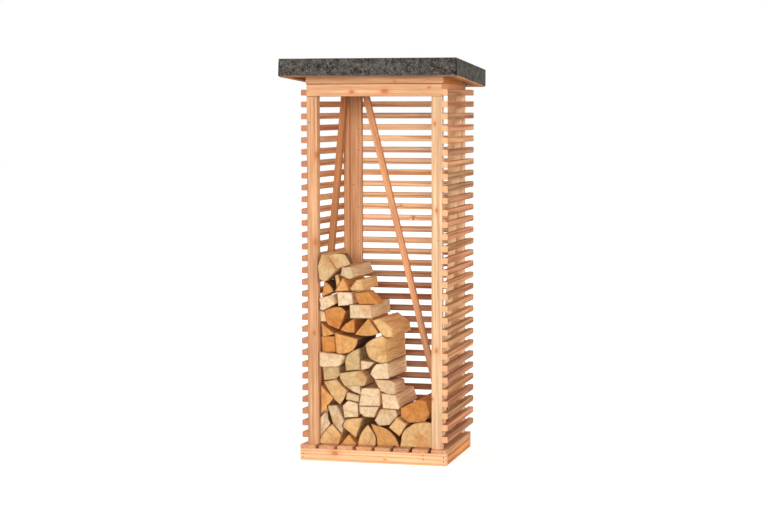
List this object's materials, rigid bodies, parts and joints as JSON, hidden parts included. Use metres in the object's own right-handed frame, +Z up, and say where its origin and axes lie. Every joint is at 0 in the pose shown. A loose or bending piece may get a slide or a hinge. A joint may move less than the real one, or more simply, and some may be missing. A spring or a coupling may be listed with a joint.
{
  "type": "log store",
  "caption": "Tall open-fronted timber log store with slatted side and back walls, a raised board floor and a felted roof falling to the rear.",
  "frame": {"origin": "on the ground at the middle of the base, on the underside of the middle bearer", "axes": "+X across the front to the right hand of someone facing it, -Y out of the open front, +Z up"},
  "size_m": [0.858, 0.7626, 1.9025],
  "materials": {
    "planed_fir": "planed softwood, light orange, unpainted",
    "roof_sheet": "plain sheathing board",
    "roof_felt": "gritty mineral roofing felt, dark grey-brown",
    "firewood": "split and sawn firewood, pale cream to orange"
  },
  "bodies": {
    "root": {"back_brace": "planed_fir", "back_left_stile": "planed_fir", "back_right_stile": "planed_fir", "back_wall_slats": "planed_fir", "base_front_board": "planed_fir", "base_left_board": "planed_fir", "base_middle_bearer": "planed_fir", "base_rear_board": "planed_fir", "base_right_board": "planed_fir", "floor_boards": "planed_fir", "front_roof_rail": "planed_fir", "header_board": "planed_fir", "left_brace": "planed_fir", "left_firring": "planed_fir", "left_front_post": "planed_fir", "left_rear_stile": "planed_fir", "left_top_rail": "planed_fir", "left_wall_slats": "planed_fir", "log_row_1": "firewood", "log_row_10": "firewood", "log_row_11": "firewood", "log_row_12": "firewood", "log_row_2": "firewood", "log_row_3": "firewood", "log_row_4": "firewood", "log_row_5": "firewood", "log_row_6": "firewood", "log_row_7": "firewood", "log_row_8": "firewood", "log_row_9": "firewood", "right_brace": "planed_fir", "right_firring": "planed_fir", "right_front_post": "planed_fir", "right_rear_stile": "planed_fir", "right_top_rail": "planed_fir", "right_wall_slats": "planed_fir", "roof_felt": "roof_felt", "roof_front_board": "planed_fir", "roof_left_board": "planed_fir", "roof_rafters": "planed_fir", "roof_rear_board": "planed_fir", "roof_right_board": "planed_fir", "roof_sheet": "roof_sheet"}
  },
  "joints": []
}
